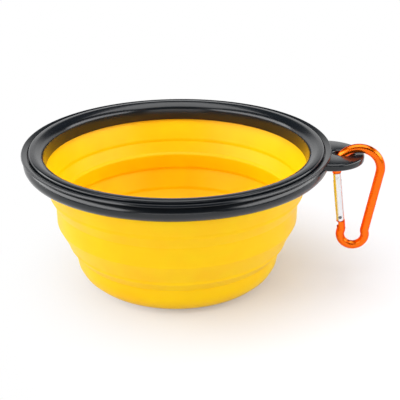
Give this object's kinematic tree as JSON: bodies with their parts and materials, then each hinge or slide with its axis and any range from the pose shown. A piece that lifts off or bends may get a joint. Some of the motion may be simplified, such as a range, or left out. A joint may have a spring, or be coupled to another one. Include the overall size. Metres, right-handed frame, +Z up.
{
  "type": "collapsible bowl",
  "caption": "Round silicone bowl that folds flat, with a two-piece plastic rim, a slotted hang tab and a sprung clip.",
  "frame": {"origin": "centre of the flat underside of the base, on the axis of the bowl", "axes": "+Z up along the axis of the bowl, +X towards the hang tab and the clip, +Y across the tab"},
  "size_m": [0.1509, 0.1294, 0.0617],
  "materials": {
    "silicone": "moulded silicone, satin",
    "rim_plastic": "moulded black plastic, semi-gloss",
    "anodised_bar": "orange anodised",
    "gate_bar": "polished",
    "pin_steel": "plain steel"
  },
  "bodies": {
    "rim": {"rim_top_ring": "rim_plastic", "rim_lower_ring": "rim_plastic", "bowl_collar": "silicone", "upper_fold": "silicone"},
    "band": {"bowl_band": "silicone", "lower_fold": "silicone"},
    "base": {"bowl_base": "silicone"},
    "clip": {"clip_hook": "anodised_bar"},
    "gate": {"clip_gate": "gate_bar", "gate_rivet": "pin_steel", "latch_pin": "pin_steel", "gate_spring": "pin_steel"},
    "plunger": {"gate_plunger": "pin_steel"}
  },
  "joints": [
    {"name": "upper_collapse", "type": "slide", "parent": "rim", "child": "band", "axis": [0, 0, 1], "range_m": [0, 0.0215], "deforming": ["upper_fold"]},
    {"name": "lower_collapse", "type": "slide", "parent": "band", "child": "base", "axis": [0, 0, 1], "range_m": [0, 0.0215], "deforming": ["lower_fold"]},
    {"name": "clip_swing", "type": "hinge", "parent": "rim", "child": "clip", "pos_m": [0.0757, 0, 0.0559], "axis": [0, -1, 0], "range_deg": [-8, 180]},
    {"name": "gate_hinge", "type": "hinge", "parent": "clip", "child": "gate", "pos_m": [0.07009, 0, 0.02939], "axis": [0, 1, 0], "range_deg": [0, 28], "stiffness_Nm_per_rad": 0.03, "springref_deg": -28.65},
    {"name": "plunger_slide", "type": "slide", "parent": "gate", "child": "plunger", "axis": [-0.1442, 0, 0.9896], "range_m": [0, 0.000342], "deforming": ["gate_spring"]}
  ],
  "couplings": [
    {"joint": "gate_hinge", "follows": "plunger_slide", "rad_per_m": 1428.6}
  ]
}
